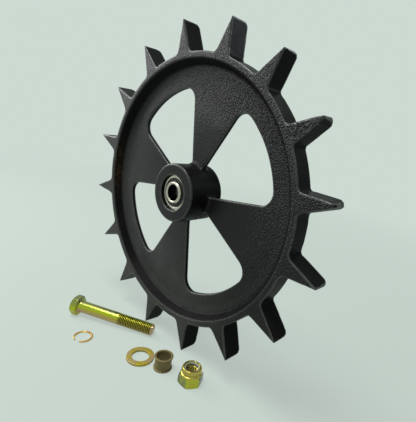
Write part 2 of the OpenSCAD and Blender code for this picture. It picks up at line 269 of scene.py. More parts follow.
def lattice_noise(points, cell, seed):
    """Smooth noise between -1 and 1 with one random value for each corner of a lattice."""
    grid = points / cell
    base = np.floor(grid).astype(np.int64)
    part = grid - base
    part = part * part * (3 - 2 * part)
    total = np.zeros(len(points))
    for corner in itertools.product((0, 1), repeat=3):
        key = base + np.array(corner)
        mixed = key[:, 0] * 73856093 ^ key[:, 1] * 19349663 ^ key[:, 2] * 83492791 ^ seed * 2654435761
        mixed = (mixed ^ (mixed >> 13)) * 1274126177 & 0x7FFFFFFF
        mixed = (mixed ^ (mixed >> 16)) * 668265263 & 0x7FFFFFFF
        weight = np.prod(np.where(corner, part, 1 - part), 1)
        total += weight * (mixed / 0x3FFFFFFF - 1)
    return total


# Materials

class Look:
    """A procedural material, with short calls to add its nodes and join them."""

    def __init__(self, name):
        self.material = bpy.data.materials.new(name)
        self.material.use_nodes = True
        self.tree = self.material.node_tree
        self.shader = self.tree.nodes["Principled BSDF"]
        self.place = self.add("ShaderNodeTexCoord").outputs["Object"]

    def add(self, kind, inputs=None, **settings):
        node = self.tree.nodes.new(kind)
        for key, value in settings.items():
            setattr(node, key, value)
        for key, value in (inputs or {}).items():
            self.join(node.inputs[key], value)
        return node

    def join(self, socket, value):
        if isinstance(value, bpy.types.NodeSocket):
            self.tree.links.new(value, socket)
        else:
            socket.default_value = value

    def set(self, **values):
        for key, value in values.items():
            self.join(self.shader.inputs[key.replace("_", " ")], value)

    def noise(self, scale, detail=4.0, rough=0.55, warp=0.0, place=None):
        inputs = {"Vector": place or self.place, "Scale": scale, "Detail": detail, "Roughness": rough,
                  "Distortion": warp}
        return self.add("ShaderNodeTexNoise", inputs).outputs["Fac"]

    def ramp(self, value, *stops):
        """Colours along a value, each stop being (position, (r, g, b))."""
        node = self.add("ShaderNodeValToRGB", {"Fac": value})
        while len(node.color_ramp.elements) < len(stops):
            node.color_ramp.elements.new(0.5)
        for element, (position, colour) in zip(node.color_ramp.elements, stops):
            element.position = position
            element.color = (*colour, 1)
        return node.outputs["Color"]

    def between(self, value, low, high, start=0.3, end=0.7):
        """The value's range from start to end spread over low to high."""
        inputs = {"Value": value, "From Min": start, "From Max": end, "To Min": low, "To Max": high}
        return self.add("ShaderNodeMapRange", inputs).outputs["Result"]

    def math(self, operation, a, b):
        return self.add("ShaderNodeMath", {0: a, 1: b}, operation=operation).outputs[0]

    def mix(self, share, a, b):
        node = self.add("ShaderNodeMix", data_type="RGBA")
        for socket, value in ((node.inputs["Factor"], share), (node.inputs[6], a), (node.inputs[7], b)):
            self.join(socket, (*value, 1) if isinstance(value, tuple) else value)
        return node.outputs[2]

    def value_of(self, name):
        """A value stored on the mesh's vertices."""
        return self.add("ShaderNodeAttribute", attribute_name=name).outputs["Fac"]

    def bump(self, height, strength, distance):
        inputs = {"Height": height, "Strength": strength, "Distance": distance}
        normal = self.add("ShaderNodeBump", inputs).outputs["Normal"]
        self.join(self.shader.inputs["Normal"], normal)


def cast_paint():
    """Black paint over a sand-cast surface, lighter at the edges as wear and as a painted highlight, with
    light flecks that are partly painted glints, dust that is partly painted light, and rust in some corners.
    """
    look = Look("cast_paint")
    tone = look.ramp(look.noise(26.0, 5.0), (0.3, (0.0055, 0.0056, 0.0062)), (0.7, (0.0105, 0.0103, 0.0100)))
    # Dust and painted light: a lighter tone on the front, strongest at the lower left where it evens out the
    # lamps' falloff
    dusty = look.math("MULTIPLY", look.value_of("dust_and_painted_light"), look.between(look.noise(45.0, 5.0), 0.5, 1.0))
    tone = look.mix(dusty, tone, (0.046, 0.046, 0.045))
    edge = look.value_of("edge")
    # Lighter paint at the edges: partly wear, partly a painted highlight
    worn = look.math("MULTIPLY", edge, look.between(look.noise(160.0), 0.3, 0.85))
    tone = look.mix(worn, tone, (0.17, 0.175, 0.16))
    patches = look.between(look.noise(220.0, 6.0), 0.0, 1.0, 0.42, 0.62)
    rusty = look.math("MULTIPLY", look.value_of("rust"), patches)
    tone = look.mix(rusty, tone, (0.055, 0.03, 0.014))
    grain = look.value_of("grain")
    # Light flecks on the grain: partly the grain's own tone, partly painted glints
    flecks_and_painted_glints = look.math("MULTIPLY", grain, look.between(look.noise(820.0, 2.0), 0.0, 1.0, 0.58, 0.74))
    tone = look.mix(flecks_and_painted_glints, tone, (0.045, 0.045, 0.043))
    pebbles = look.noise(760.0, 1.5, 0.5)
    fine = look.noise(1300.0, 2.0)
    height = look.math("ADD", pebbles, look.math("MULTIPLY", fine, 0.3))
    look.bump(height, grain, 0.0020)
    dull = look.between(look.noise(70.0, 4.0), 0.34, 0.44)
    dull = look.math("SUBTRACT", dull, look.math("MULTIPLY", edge, 0.16))
    look.set(Base_Color=tone, Roughness=dull, Specular_IOR_Level=look.value_of("gloss"))
    return look.material


def yellow_zinc():
    """Yellow passivated zinc, whose film shifts between lime, gold and pink, partly as painted reflection and
    shade, and is darkened in grooves as painted shade.
    """
    look = Look("yellow_zinc")
    # The darkest tones, near 1, are painted shade for the nut's shaded flats
    tint = look.ramp(
        look.value_of("film"),
        (0.22, (0.54, 0.33, 0.24)), (0.36, (0.50, 0.38, 0.16)), (0.50, (0.52, 0.42, 0.08)),
        (0.66, (0.50, 0.56, 0.02)), (0.85, (0.26, 0.26, 0.12)), (1.0, (0.14, 0.17, 0.15)))
    dull = look.noise(420.0, 3.0)
    tint = look.mix(look.between(dull, 0.0, 0.14), tint, (0.26, 0.23, 0.10))
    # Painted shade: darker towards the roots of the thread's grooves
    tint = look.mix(look.math("MULTIPLY", look.value_of("groove"), 0.92), tint, (0.035, 0.028, 0.008))
    look.bump(look.noise(900.0, 2.0), 0.02, 0.0002)
    look.set(Base_Color=tint, Metallic=1.0, Roughness=look.between(dull, 0.23, 0.28))
    return look.material


def washer_zinc():
    """The same film, matte, on the stamped washer."""
    look = Look("washer_zinc")
    film = look.noise(75.0, 2.0, 0.5, 0.8)
    tint = look.ramp(
        film, (0.36, (0.43, 0.29, 0.16)), (0.46, (0.43, 0.34, 0.12)), (0.53, (0.45, 0.35, 0.010)),
        (0.66, (0.40, 0.33, 0.095)))
    dull = look.noise(380.0, 4.0)
    look.bump(look.noise(700.0, 3.0), 0.25, 0.0003)
    look.set(Base_Color=tint, Metallic=0.55, Roughness=look.between(dull, 0.40, 0.56))
    return look.material


def olive_plate():
    """Dull olive-brown plating of the bush."""
    look = Look("olive_plate")
    tone = look.ramp(look.noise(130.0, 5.0), (0.3, (0.160, 0.122, 0.042)), (0.7, (0.240, 0.188, 0.072)))
    look.bump(look.noise(800.0, 4.0), 0.3, 0.0003)
    look.set(Base_Color=tone, Metallic=0.35, Roughness=look.between(look.noise(300.0), 0.46, 0.60))
    return look.material


def copper_plate():
    """Copper-coloured plating of the snap ring."""
    look = Look("copper_plate")
    tone = look.ramp(look.noise(110.0, 3.0), (0.35, (0.60, 0.29, 0.055)), (0.65, (0.78, 0.50, 0.12)))
    look.bump(look.noise(900.0, 2.0), 0.15, 0.0002)
    look.set(Base_Color=tone, Metallic=1.0, Roughness=look.between(look.noise(260.0), 0.26, 0.40))
    return look.material


def insert_nylon():
    """Pale, slightly clear nylon."""
    look = Look("insert_nylon")
    tone = look.ramp(look.noise(300.0), (0.3, (0.27, 0.30, 0.22)), (0.7, (0.36, 0.39, 0.29)))
    look.bump(look.noise(1200.0, 2.0), 0.15, 0.0002)
    look.set(Base_Color=tone, Roughness=look.between(look.noise(500.0), 0.36, 0.5), Subsurface_Weight=0.12,
             Subsurface_Scale=0.001)
    return look.material


def turned_steel(name, light, dark, low, high):
    """Steel with fine marks round the axle, as a lathe or a grinder leaves them."""
    look = Look(name)
    axes = look.add("ShaderNodeSeparateXYZ", {"Vector": look.place}).outputs
    flat = look.add("ShaderNodeCombineXYZ", {"X": axes["X"], "Y": axes["Z"], "Z": 0.0}).outputs["Vector"]
    radius = look.add("ShaderNodeVectorMath", {0: flat}, operation="LENGTH").outputs["Value"]
    across = look.add("ShaderNodeCombineXYZ", {"X": radius, "Y": axes["Y"], "Z": 0.0}).outputs["Vector"]
    marks = look.noise(5200.0, 2.0, 0.6, place=across)
    tone = look.ramp(look.noise(210.0, 4.0), (0.3, dark), (0.7, light))
    # Painted shade: darkened nearly to black where the mesh marks it, as in the inner ring's bore
    tone = look.mix(look.value_of("painted_bore_shade"), tone, (0.006, 0.006, 0.007))
    look.bump(marks, 0.16, 0.0001)
    look.set(Base_Color=tone, Metallic=1.0, Roughness=look.between(marks, low, high))
    return look.material


def seal_rubber():
    """Black rubber with a dusty bloom."""
    look = Look("seal_rubber")
    tone = look.ramp(look.noise(240.0, 5.0), (0.35, (0.010, 0.010, 0.010)), (0.7, (0.030, 0.028, 0.025)))
    look.bump(look.noise(1500.0, 2.0), 0.2, 0.0002)
    look.set(Base_Color=tone, Roughness=look.between(look.noise(400.0), 0.5, 0.66))
    return look.material


def cage_plastic():
    """Cream moulded plastic of the cages."""
    look = Look("cage_plastic")
    tone = look.ramp(look.noise(350.0), (0.3, (0.55, 0.50, 0.34)), (0.7, (0.66, 0.61, 0.45)))
    look.bump(look.noise(1400.0, 2.0), 0.15, 0.0002)
    look.set(Base_Color=tone, Roughness=look.between(look.noise(500.0), 0.38, 0.52))
    return look.material


# The casting

VOXEL = 0.8 * MM
MOST_TRIANGLES = 193000
FLANK_DRAFT = 0.45
FACE_GLOSS, FLANK_GLOSS = 0.215, 0.026
# Edge mask on all outer edges: its lighter paint is partly wear, partly a painted highlight
EDGE_WEAR_AND_HIGHLIGHT = 0.4
TOOTH_ROOT_HALF, TOOTH_TIP_HALF = 8.8, 0.8

# Teeth by number, counted in pitches from +X: half width of blunt tips, (front, rear) radius of round ones
BLUNT_TIPS = {0.5: 2.1, 1.5: 1.9}
ROUND_TIPS = {0.5: (5.5, 9.0), 1.5: (3.5, 9.0), -0.5: (1.5, 7.0)}
COARSE_ANGLE, COARSE_SPREAD = math.radians(38), math.radians(72)

# Pitted spots: distance from the axle, degrees about it, spread and depth
PITTED = (
    (147, 1.5 * TOOTH_PITCH, 13, 1.0),
    (114, 34.8, 4.0, 0.7),
    (96, 88.5, 3.0, 0.35),
    (78, 73.5, 3.5, 0.3),
)
LUMPS_AT = (HUB_R, math.radians(-72), -1.0)
LUMPS_SPREAD = (4.0, 0.55, 7.0)

# How far each kind of roughness pushes the surface, in millimetres
PEBBLE_PUSH, SWELL_PUSH, PIT_PUSH, LUMP_PUSH = 0.025, 0.09, 0.65, 0.9

# Bends, as 1 / radius in millimetres, over which edges and creases come in
EDGE_BEND, CREASE_BEND = (0.28, 0.7), (0.12, 0.4)


def radius_of(points):
    """Distance from the axle."""
    return np.hypot(points[:, 0], points[:, 2])


def along_axle(points):
    """Distance from the axle and angle about it."""
    return radius_of(points), np.arctan2(points[:, 2], points[:, 0])


def fade(value, start, end):
    """0 before start and 1 past end, with a smooth change between them."""
    share = np.clip((value - start) / (end - start), 0, 1)
    return share * share * (3 - 2 * share)


def near(points, centre, spread):
    """1 at a place about the axle, given as (r mm, angle, y mm), falling off with distance."""
    radius, angle = along_axle(points)
    turn = np.angle(np.exp(1j * (angle - centre[1])))
    off = ((radius / MM - centre[0]) / spread[0]) ** 2 + (turn / spread[1]) ** 2
    return np.exp(-off - ((points[:, 1] / MM - centre[2]) / spread[2]) ** 2)


def shape_teeth(mesh):
    """Taper the teeth towards the front, as they left the mould, and round the tips that are worn."""
    points = points_of(mesh)
    radius, angle = along_axle(points)
    radius, y = radius / MM, points[:, 1] / MM
    pitch = math.radians(TOOTH_PITCH)
    tooth = np.floor(angle / pitch) + 0.5
    half_width = np.interp(radius, (ROOT_R, TIP_R), (TOOTH_ROOT_HALF, TOOTH_TIP_HALF))
    widen = 1 + FLANK_DRAFT * y / RIM_HALF / half_width * fade(radius, ROOT_R, ROOT_R + 6)
    for number, half_tip in BLUNT_TIPS.items():
        wider = np.interp(radius, (ROOT_R, TIP_R), (TOOTH_ROOT_HALF, half_tip)) / half_width
        widen = widen * np.where(tooth == number, wider, 1)
    angle = (tooth + (angle / pitch - tooth) * widen) * pitch
    for number, half_tip in BLUNT_TIPS.items():
        off_centre = np.clip(np.abs(angle - tooth * pitch) * radius / half_tip, 0, 1.2)
        radius = radius - np.where(tooth == number, 1.7 * off_centre ** 2 * fade(radius, TIP_R - 7, TIP_R), 0)
    for number, corners in ROUND_TIPS.items():
        for side, round_r in zip((-1, 1), corners):
            over_r = np.maximum(radius - (TIP_R - round_r), 0)
            over_y = np.maximum(side * y - (RIM_HALF - round_r), 0)
            reach = np.hypot(over_r, over_y)
            outside = (tooth == number) & (over_r > 0) & (reach > round_r)
            pull = np.where(outside, 1 - round_r / np.maximum(reach, 1e-6), 0)
            radius = radius - pull * over_r
            y = y - side * pull * over_y
    set_points(mesh, np.stack([radius * np.cos(angle), y, radius * np.sin(angle)], 1) * MM)


def grain_of(points, normals):
    """How coarse the sand grain is: coarsest on the flat faces high on the right, fine on flanks and hub."""
    radius, angle = along_axle(points)
    flat = fade(np.abs(normals[:, 1]), 0.55, 0.9)
    off = np.angle(np.exp(1j * (angle - COARSE_ANGLE))) / COARSE_SPREAD
    coarse = 0.07 + 0.93 * np.exp(-off ** 2)
    away = 0.06 + 0.14 * fade(radius, 30 * MM, 36 * MM) + 0.8 * fade(radius, 66 * MM, 100 * MM)
    return (0.10 + 0.90 * flat * coarse) * away + near(points, LUMPS_AT, LUMPS_SPREAD)


def pits_of(points, normals):
    """Where the mould broke away: most of one tooth's front and a few spots on the web."""
    total = np.zeros(len(points))
    for radius, turn, spread, depth in PITTED:
        turn = math.radians(turn)
        middle = np.array([math.cos(turn), 0, math.sin(turn)]) * radius * MM
        gap = np.linalg.norm((points - middle) * [1, 0, 1], axis=1) / (spread * MM)
        total += depth * np.exp(-gap ** 2)
    return total * np.clip(-normals[:, 1] * 2 - 1, 0, 1)


def roughen(mesh):
    """Push the surface in and out like sand-cast iron."""
    points, normals = vertex_arrays(mesh)
    grain = grain_of(points, normals)
    pits = pits_of(points, normals)
    lumps = near(points, LUMPS_AT, LUMPS_SPREAD)
    pebbles = lattice_noise(points, 2.9 * MM, 1) + 0.6 * lattice_noise(points, 1.9 * MM, 2)
    swell = lattice_noise(points, 17 * MM, 3)
    holes = 1.3 * lattice_noise(points, 1.9 * MM, 4) + 0.5 * lattice_noise(points, 1.3 * MM, 5)
    holes = np.clip(holes, -1, 1)
    push = grain * pebbles * PEBBLE_PUSH + swell * SWELL_PUSH + pits * (holes - 0.5) * PIT_PUSH
    push += lumps * lattice_noise(points, 3.1 * MM, 6) * LUMP_PUSH
    push *= np.clip((radius_of(points) - SEAT_R * MM) / (3 * MM), 0, 1) * MM
    set_points(mesh, points + normals * push[:, None])


def clear_seats(mesh):
    """Keep the casting outside the bearings and inside the solid model's box."""
    points = points_of(mesh)
    radius = radius_of(points)
    y = points[:, 1]
    seat = (radius < (SEAT_R + 0.5) * MM) & ((y < FRONT_SEAT_Y * MM) | (y > REAR_SEAT_Y * MM))
    wanted = np.where(seat, np.maximum(radius, (SEAT_R + 0.03) * MM), radius)
    points[:, [0, 2]] *= (wanted / np.maximum(radius, 1e-9))[:, None]
    low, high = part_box("wheel_casting")
    set_points(mesh, np.clip(points, np.array(low), np.array(high)))


def bends_of(mesh):
    """The sharpest outward and inward bend at each vertex, as 1 / radius in millimetres."""
    points, normals = vertex_arrays(mesh)
    pairs = np.empty(len(mesh.edges) * 2, np.int32)
    mesh.edges.foreach_get("vertices", pairs)
    start, end = pairs.reshape(-1, 2).T
    step = (points[end] - points[start]) / MM
    bend = ((normals[end] - normals[start]) * step).sum(1) / np.maximum((step ** 2).sum(1), 1e-6)
    outward = np.zeros(len(points))
    inward = np.zeros(len(points))
    for here in (start, end):
        np.maximum.at(outward, here, bend)
        np.maximum.at(inward, here, -bend)
    return outward, inward


def gloss_of(normals, edge, crease):
    """How much the paint mirrors: most on rubbed edges, less on flat faces, little on flanks and creases."""
    flat = fade(np.abs(normals[:, 1]), 0.55, 0.9)
    face = FLANK_GLOSS + (FACE_GLOSS - FLANK_GLOSS) * flat
    return face * (1 - 0.8 * crease) + 0.9 * edge


def dust_and_painted_light_of(points, normals):
    """Dust on the front, thickest at the lower left, where its lighter tone is also painted light that evens
    out the lamps' falloff.
    """
    low = -0.6 * points[:, 0] - 0.8 * points[:, 2]
    left = fade(-points[:, 0], -115 * MM, -40 * MM)
    return fade(low, -10 * MM, 90 * MM) * left * fade(-normals[:, 1], 0.55, 0.9)


def rust_of(points):
    """Rust on the rim's inner wall at the left and at the lower left roots of the teeth."""
    radius, angle = along_axle(points)
    wall = np.exp(-((radius - 126 * MM) / (3 * MM)) ** 2) * np.exp(-((np.abs(angle) - math.pi) / 0.22) ** 2)
    roots = np.zeros(len(points))
    for tooth in (-6.5, -5.5):
        turn = math.radians(tooth * TOOTH_PITCH)
        foot = np.array([math.cos(turn), 0, math.sin(turn)]) * 139 * MM
        roots += np.exp(-(np.linalg.norm((points - foot) * [1, 0, 1], axis=1) / (9 * MM)) ** 2)
    return np.clip(wall + 0.7 * roots, 0, 1)


def cast_wheel(material):
    """The casting with rounded edges and a sand-cast skin."""
    piece = add_piece("cast_wheel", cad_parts["wheel_casting"].data.copy())
    remesh = piece.modifiers.new("remesh", "REMESH")
    remesh.mode = "VOXEL"
    remesh.voxel_size = VOXEL
    smooth = piece.modifiers.new("smooth", "SMOOTH")
    smooth.factor = 0.5
    smooth.iterations = 3
    bake_modifiers(piece)
    shape_teeth(piece.data)
    roughen(piece.data)
    thin = piece.modifiers.new("thin", "DECIMATE")
    piece.data.calc_loop_triangles()
    thin.ratio = min(1, MOST_TRIANGLES / len(piece.data.loop_triangles))
    bake_modifiers(piece)
    clear_seats(piece.data)
    points, normals = vertex_arrays(piece.data)
    outward, inward = bends_of(piece.data)
    pits = pits_of(points, normals)
    bent = fade(outward, *EDGE_BEND)
    # Lighter paint and more gloss at edges and pit rims: partly wear, partly a painted highlight
    edge = bent * np.maximum(EDGE_WEAR_AND_HIGHLIGHT, pits)
    grain = np.clip(grain_of(points, normals) + 0.9 * pits, 0, 1.3)
    store_values(piece.data, "grain", grain * (1 - bent))
    store_values(piece.data, "edge", edge)
    crease = fade(inward, *CREASE_BEND) * (1 - 0.6 * np.clip(pits, 0, 1))
    store_values(piece.data, "gloss", gloss_of(normals, edge, crease) + 0.10 * pits)
    store_values(piece.data, "dust_and_painted_light", dust_and_painted_light_of(points, normals))
    store_values(piece.data, "rust", rust_of(points))
    shade_smooth(piece.data)
    hand_over(piece, "wheel_casting", "wheel", material)


# The bearings

def in_hub(front):
    """Frame of a bearing: z points out of the hub and 0 is the outer ring's face."""
    turn = math.radians(90 if front else -90)
    face = FRONT_FACE_Y if front else REAR_FACE_Y
    return Matrix.Translation((0, face * MM, 0)) @ Matrix.Rotation(turn, 4, "X")


def outer_ring(name, matrix):
    corners = [
        (OUTER_LAND_R, 0), (BEARING_R, 0), (BEARING_R, -BEARING_W), (OUTER_LAND_R, -BEARING_W),
        (OUTER_LAND_R, -BEARING_W + 1.6), (OUTER_LAND_R + 1.1, -BEARING_W / 2), (OUTER_LAND_R, -1.6),
    ]
    return turned(name, rounded(corners, 0.5, closed=True), matrix)


def inner_ring(name, matrix, stand=2.4):
    """Ground ring with bevelled edges and a bore painted nearly black as shade."""
    corners = [
        (BORE_R, stand - 0.8), (BORE_R + 0.8, stand),
        (INNER_LAND_R - 1.1, stand), (INNER_LAND_R, stand - 1.2),
        (INNER_LAND_R, -1.6), (INNER_LAND_R - 0.6, -BEARING_W / 2), (INNER_LAND_R, -BEARING_W + 1.6),
        (INNER_LAND_R, -BEARING_W), (BORE_R, -BEARING_W),
    ]
    piece = turned(name, rounded(corners, 0.2, closed=True), matrix)
    radius = radius_of(points_of(piece.data))
    # Painted shade: the bore darkened nearly to black
    store_values(piece.data, "painted_bore_shade", 0.97 * (radius < (BORE_R + 0.12) * MM))
    return piece


def seal(name, matrix, top, thick=1.0):
    """A seal with a groove pressed round its outer face and a lip at its inner edge."""
    inner, outer = INNER_LAND_R + 0.08, OUTER_LAND_R - 0.01
    corners = [
        (inner, top - 0.25), (inner + 0.5, top), (inner + 1.0, top), (inner + 1.3, top - 0.4),
        (outer - 0.9, top - 0.4), (outer - 0.6, top), (outer, top),
        (outer, top - thick), (inner, top - thick),
    ]
    return turned(name, rounded(corners, 0.15, 3, closed=True), matrix)


def bearings(ring_steel, rubber):
    for side, front in (("front", True), ("rear", False)):
        matrix = in_hub(front)
        outer = outer_ring(f"{side}_ring_outer", matrix)
        hand_over(outer, f"{side}_outer_ring", "wheel", ring_steel)
        inner = inner_ring(f"{side}_ring_inner", matrix)
        hand_over(inner, f"{side}_inner_ring", "axle_set", ring_steel)
        cover = seal(f"{side}_seal_outboard", matrix, -SEAL_INSET)
        hand_over(cover, f"{side}_outboard_seal", "wheel", rubber)


# The fasteners

# Tone of the plating round a piece, as (degrees, tone) stops, and the tones of some parts of it. The tones by
# angle are painted reflection and shade: a lime highlight band and a pink underside on the bolt, lit and
# shaded flats on the nut.
BOLT_FILM_AND_PAINTED_REFLECTION = (
    (-180, 0.85), (-158, 0.78), (-138, 0.65), (-120, 0.65), (-105, 0.50), (-80, 0.34), (-60, 0.24), (0, 0.3),
    (90, 0.6), (180, 0.85),
)
NUT_FILM_AND_PAINTED_LIGHT = (
    (-180, 0.72), (-92, 0.84), (-31, 0.84), (-29, 0.64), (29, 0.64), (31, 0.98), (92, 0.98), (180, 0.72),
)
PINK_FILM = 0.26
GOLD_FILM = 0.47
OLIVE_FILM = 0.86


def on_floor(x, y, turn=0.0):
    return Matrix.Translation((x * MM, y * MM, FLOOR_Z)) @ Matrix.Rotation(math.radians(turn), 4, "Z")


def middle_of(node):
    """Middle of a node's box on the floor, in millimetres."""
    low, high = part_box(node)
    return (low.x + high.x) / 2 / MM, (low.y + high.y) / 2 / MM


def thread_groove(turns, angles, hand=1):
    """Depth of a thread's groove, from 0 at the crest to 1 at the root, at a number of turns along it."""
    phase = (turns - hand * angles / (2 * math.pi)) % 1
    return np.clip(1.35 * (0.5 - 0.5 * np.cos(2 * math.pi * phase)) - 0.1, 0, 1)


def groove_shade_of(mesh, crest, root, start, end):
    """How deep each vertex lies in a thread between two heights, from 0 at the crest to 1 at the root; the
    zinc is darkened by it as painted shade.
    """
    points = points_of(mesh)
    radius = np.hypot(points[:, 0], points[:, 1]) / MM
    depth = np.clip((radius - crest) / (root - crest), 0, 1)
    inside = (points[:, 2] > start * MM) & (points[:, 2] < end * MM)
    return np.where(inside & (np.abs(radius - (crest + root) / 2) <= abs(root - crest)), depth, 0)


def film_and_painted_light_of(mesh, tones, cell, seed):
    """Tone of the plating: painted reflection and shade as tones at (degrees about z, tone) stops, with the
    film's own patches of a size in millimetres.
    """
    points = points_of(mesh)
    turn = np.degrees(np.arctan2(points[:, 1], points[:, 0]))
    tone = np.interp(turn, [stop[0] for stop in tones], [stop[1] for stop in tones])
    scaled = points / np.array(cell)
    return tone + 0.09 * lattice_noise(scaled, MM, seed) + 0.05 * lattice_noise(scaled, 0.4 * MM, seed + 1)


def axle_bolt(material):
    """Bolt drawn along z from its head's top at -HEAD_H to its tip at BOLT_LEN."""
    angles = circle_angles(96)
    hexagon = hexagon_radius(angles, HEAD_AF)
    corner = HEAD_AF / 2 / math.cos(math.pi / 6)
    crown = (corner - HEAD_AF / 2 * 0.97) * math.tan(math.radians(30))
    head = [(0.2, -HEAD_H), (HEAD_AF / 2 * 0.97, -HEAD_H), (corner + 0.4, -HEAD_H + crown * 1.12),
            (corner + 0.4, -HEAD_FACE_T)]
    rings = []
    for r, z in divided(rounded(head, 0.5), 0.45):
        rings.append(ring_points(soft_min(hexagon, np.full_like(angles, r), 0.25), z, angles))
    under = [(HEAD_AF / 2 * 0.97, -HEAD_FACE_T), (HEAD_AF * 0.475, -HEAD_FACE_T), (HEAD_AF * 0.475, 0),
             (BOLT_R + 0.5, 0), (BOLT_R, 0.6)]
    for r, z in rounded(under, 0.2):
        rings.append(ring_points(soft_min(hexagon, np.full_like(angles, r), 0.25), z, angles))
    thread_start = BOLT_LEN - THREAD_LEN
    rings += [ring_points(BOLT_R, z, angles) for z in np.arange(2, thread_start, 4)]
    for z in np.arange(thread_start, BOLT_LEN - 0.05, THREAD_PITCH / 10):
        run_in = np.clip((z - thread_start) / (1.5 * THREAD_PITCH), 0, 1)
        groove = run_in * THREAD_DEPTH * thread_groove(z / THREAD_PITCH, angles)
        cone = BOLT_R + BOLT_LEN - BOLT_CHAMFER - z
        rings.append(ring_points(soft_min(BOLT_R - groove, np.full_like(angles, cone), 0.3), z, angles))
    tip = BOLT_R - BOLT_CHAMFER
    rings += [ring_points(tip - 0.25, BOLT_LEN - 0.02, angles), ring_points(tip - 0.8, BOLT_LEN, angles),
              ring_points(0.2, BOLT_LEN, angles)]
    piece = loft("hex_bolt", rings)
    groove = groove_shade_of(piece.data, BOLT_R, BOLT_R - THREAD_DEPTH, thread_start, BOLT_LEN - BOLT_CHAMFER)
    store_values(piece.data, "groove", groove)
    # Plating tone: painted reflection by angle round the shank, a lime highlight band and a pink underside,
    # with the film's own patches
    film = film_and_painted_light_of(piece.data, BOLT_FILM_AND_PAINTED_REFLECTION, (5, 5, 30), 11)
    along = points_of(piece.data)[:, 2] / MM
    film += 0.6 * fade(along, thread_start, thread_start + 2) * (GOLD_FILM - film)
    film += 0.55 * fade(-along, -0.5, 0.5) * (OLIVE_FILM - film)
    film += 0.9 * fade(along, BOLT_LEN - 2.4, BOLT_LEN - 1.2) * (PINK_FILM - film)
    store_values(piece.data, "film", film)
    reach = BOLT_LEN - BOLT_CHAMFER
    tilt = math.atan((HEAD_AF / 2 - BOLT_R) / reach)
    piece.data.transform(
        on_floor(*BOLT_TIP, BOLT_TURN) @ Matrix.Rotation(tilt, 4, "Y")
        @ Matrix.Translation((-reach * MM, 0, BOLT_R * MM)) @ Matrix.Rotation(math.radians(90), 4, "Y"))
    hand_over(piece, "axle_bolt", "axle_set", material)


def lock_nut(metal, nylon):
    """Nut with a round collar whose edge is rolled in over the insert."""
    angles = circle_angles(120)
    hexagon = hexagon_radius(angles, NUT_AF)
    corner = NUT_AF / 2 / math.cos(math.pi / 6)
    fall = (corner - NUT_AF / 2) * math.tan(math.radians(30))
    outer = [
        (NUT_HOLE_R + 1.2, 0), (NUT_AF / 2 * 0.98, 0), (corner + 0.3, fall * 1.1),
        (corner + 0.3, NUT_CROWN_Z - 2.3), (NUT_AF / 2, NUT_CROWN_Z), (NUT_AF / 2 - 0.4, NUT_CROWN_Z + 1.2),
        (NUT_COLLAR_R - 0.45, NUT_CROWN_Z + 1.9), (NUT_COLLAR_R - 0.4, NUT_CROWN_Z + 2.7),
        (NUT_COLLAR_R, NUT_CROWN_Z + 3.4), (NUT_COLLAR_R, NUT_H - 1.3), (NUT_COLLAR_R - 0.9, NUT_H),
        (INSERT_OUT_R - 1.0, NUT_H - 0.1), (INSERT_OUT_R - 1.1, INSERT_TOP + 0.05),
        (INSERT_OUT_R, INSERT_TOP + 0.05), (INSERT_OUT_R, INSERT_BOTTOM), (NUT_HOLE_R + 1.1, INSERT_BOTTOM),
    ]
    rings = []
    for r, z in divided(rounded(outer, 0.35), 0.3):
        rings.append(ring_points(soft_min(hexagon, np.full_like(angles, r), 0.15), z, angles))
    for z in np.arange(INSERT_BOTTOM - 0.6, 0.5, -THREAD_PITCH / 10):
        groove = 0.9 * (1 - thread_groove(z / THREAD_PITCH, angles))
        rings.append(ring_points(NUT_HOLE_R + groove, z, angles))
    piece = loft("hex_lock_nut", rings, loop=True)
    groove = groove_shade_of(piece.data, NUT_HOLE_R, NUT_HOLE_R + 0.9, 0, INSERT_BOTTOM - 0.5)
    store_values(piece.data, "groove", groove)
    points = points_of(piece.data)
    collar = fade(points[:, 2] / MM, NUT_CROWN_Z, NUT_CROWN_Z + 0.8)
    bore = np.hypot(points[:, 0], points[:, 1]) < (NUT_HOLE_R + 1.5) * MM
    # Plating tone: painted light by angle, lit and shaded flats, with the film's own patches; gold on the
    # collar and in the bore
    film = film_and_painted_light_of(piece.data, NUT_FILM_AND_PAINTED_LIGHT, (5, 5, 5), 12)
    store_values(piece.data, "film", film + np.maximum(collar, bore) * (GOLD_FILM - film))
    place = on_floor(*middle_of("lock_nut"), NUT_TURN)
    piece.data.transform(place)
    hand_over(piece, "lock_nut", "axle_set", metal)

    corners = [
        (INSERT_IN_R, INSERT_BOTTOM), (INSERT_OUT_R - 0.01, INSERT_BOTTOM),
        (INSERT_OUT_R - 0.01, INSERT_TOP), (INSERT_IN_R, INSERT_TOP),
    ]
    ring = turned("nylon_ring", rounded(corners, 0.5, closed=True), place)
    hand_over(ring, "nut_insert", "axle_set", nylon)


def flat_washer(material):
    """Stamped washer: rounded where the punch went in, sharper underneath."""
    low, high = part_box("flat_washer")
    outer = (high.x - low.x) / 2 / MM
    thick = (high.z - low.z) / MM
    hole = 8.35
    corners = [(hole, 0), (outer, 0), (outer, thick - 0.1), (outer - 0.5, thick), (hole + 0.4, thick),
               (hole, thick - 0.1)]
    piece = turned("stamped_washer", rounded(corners, 0.35, closed=True), on_floor(*middle_of("flat_washer")))
    hand_over(piece, "flat_washer", "axle_set", material)


def flanged_bush(material):
    """Spool-shaped bush with a rolled flange at each end."""
    low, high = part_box("flanged_bush")
    flange = (high.x - low.x) / 2 / MM
    tall = (high.z - low.z) / MM
    hole, body, thick = 7.0, 7.9, 1.2
    corners = [
        (hole, 0), (flange, 0), (flange, thick), (body, thick + 0.3), (body, tall - thick - 0.3),
        (flange, tall - thick), (flange, tall), (hole, tall),
    ]
    piece = turned("spool_bush", rounded(corners, 0.45, closed=True), on_floor(*middle_of("flanged_bush")))
    hand_over(piece, "flanged_bush", "axle_set", material)


